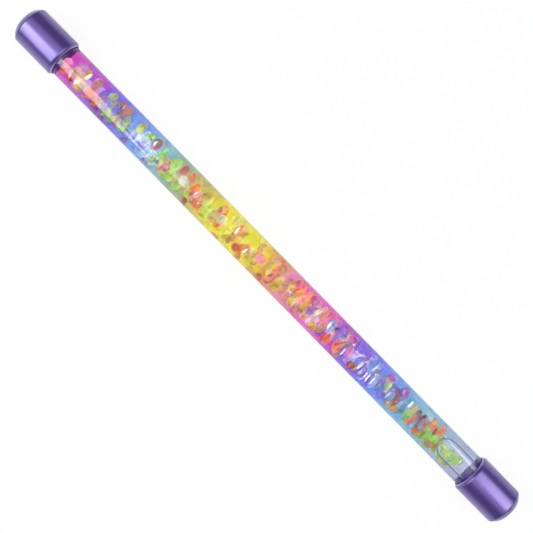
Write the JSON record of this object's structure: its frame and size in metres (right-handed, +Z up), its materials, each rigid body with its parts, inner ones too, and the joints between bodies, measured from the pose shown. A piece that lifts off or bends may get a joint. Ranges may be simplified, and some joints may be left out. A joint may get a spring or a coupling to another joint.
{
  "type": "glitter water baton",
  "caption": "Sealed clear tube of liquid with a rainbow film, drifting round glitter flakes, an air bubble, and a metallic cap over a stopper at each end.",
  "frame": {"origin": "on the surface that the baton lies on, under the middle of its length", "axes": "+X along the baton from its head to its tail, where the air bubble is, +Z up"},
  "size_m": [0.319, 0.0196, 0.0195],
  "materials": {
    "tube_plastic": "clear polished",
    "film": "see-through rainbow tint",
    "liquid": "clear liquid",
    "stopper_plastic": "moulded satin",
    "cap_paint": "metallic",
    "flake_orange": "iridescent film",
    "flake_yellow": "iridescent film",
    "flake_green": "iridescent film",
    "flake_violet": "iridescent film"
  },
  "bodies": {
    "baton": {"clear_tube": "tube_plastic", "rainbow_film": "film", "liquid_fill": "liquid", "head_stopper": "stopper_plastic", "tail_stopper": "stopper_plastic", "head_cap": "cap_paint", "tail_cap": "cap_paint"},
    "glitter_1": {"flake_1_1": "flake_orange", "flake_1_2": "flake_yellow", "flake_1_3": "flake_green", "flake_1_4": "flake_violet", "flake_1_5": "flake_orange", "flake_1_6": "flake_yellow"},
    "glitter_2": {"flake_2_1": "flake_yellow", "flake_2_2": "flake_green", "flake_2_3": "flake_violet", "flake_2_4": "flake_orange", "flake_2_5": "flake_yellow", "flake_2_6": "flake_green"},
    "glitter_3": {"flake_3_1": "flake_green", "flake_3_2": "flake_violet", "flake_3_3": "flake_orange", "flake_3_4": "flake_yellow", "flake_3_5": "flake_green", "flake_3_6": "flake_violet"},
    "glitter_4": {"flake_4_1": "flake_violet", "flake_4_2": "flake_orange", "flake_4_3": "flake_yellow", "flake_4_4": "flake_green", "flake_4_5": "flake_violet", "flake_4_6": "flake_orange"},
    "glitter_5": {"flake_5_1": "flake_orange", "flake_5_2": "flake_yellow", "flake_5_3": "flake_green", "flake_5_4": "flake_violet", "flake_5_5": "flake_orange", "flake_5_6": "flake_yellow"},
    "glitter_6": {"flake_6_1": "flake_yellow", "flake_6_2": "flake_green", "flake_6_3": "flake_violet", "flake_6_4": "flake_orange", "flake_6_5": "flake_yellow", "flake_6_6": "flake_green"},
    "glitter_7": {"flake_7_1": "flake_green", "flake_7_2": "flake_violet", "flake_7_3": "flake_orange", "flake_7_4": "flake_yellow", "flake_7_5": "flake_green", "flake_7_6": "flake_violet"},
    "glitter_8": {"flake_8_1": "flake_violet", "flake_8_2": "flake_orange", "flake_8_3": "flake_yellow", "flake_8_4": "flake_green", "flake_8_5": "flake_violet", "flake_8_6": "flake_orange"}
  },
  "joints": [
    {"name": "drift_1", "type": "slide", "parent": "baton", "child": "glitter_1", "axis": [1, 0, 0], "range_m": [0, 0.1142]},
    {"name": "drift_2", "type": "slide", "parent": "baton", "child": "glitter_2", "axis": [1, 0, 0], "range_m": [-0.1142, 0]},
    {"name": "drift_3", "type": "slide", "parent": "baton", "child": "glitter_3", "axis": [1, 0, 0], "range_m": [-0.0025, 0.1319]},
    {"name": "drift_4", "type": "slide", "parent": "baton", "child": "glitter_4", "axis": [1, 0, 0], "range_m": [-0.005, 0.1294]},
    {"name": "drift_5", "type": "slide", "parent": "baton", "child": "glitter_5", "axis": [1, 0, 0], "range_m": [-0.1319, 0.0025]},
    {"name": "drift_6", "type": "slide", "parent": "baton", "child": "glitter_6", "axis": [1, 0, 0], "range_m": [-0.0075, 0.1269]},
    {"name": "drift_7", "type": "slide", "parent": "baton", "child": "glitter_7", "axis": [1, 0, 0], "range_m": [-0.1294, 0.005]},
    {"name": "drift_8", "type": "slide", "parent": "baton", "child": "glitter_8", "axis": [1, 0, 0], "range_m": [-0.1067, 0.0075]}
  ]
}
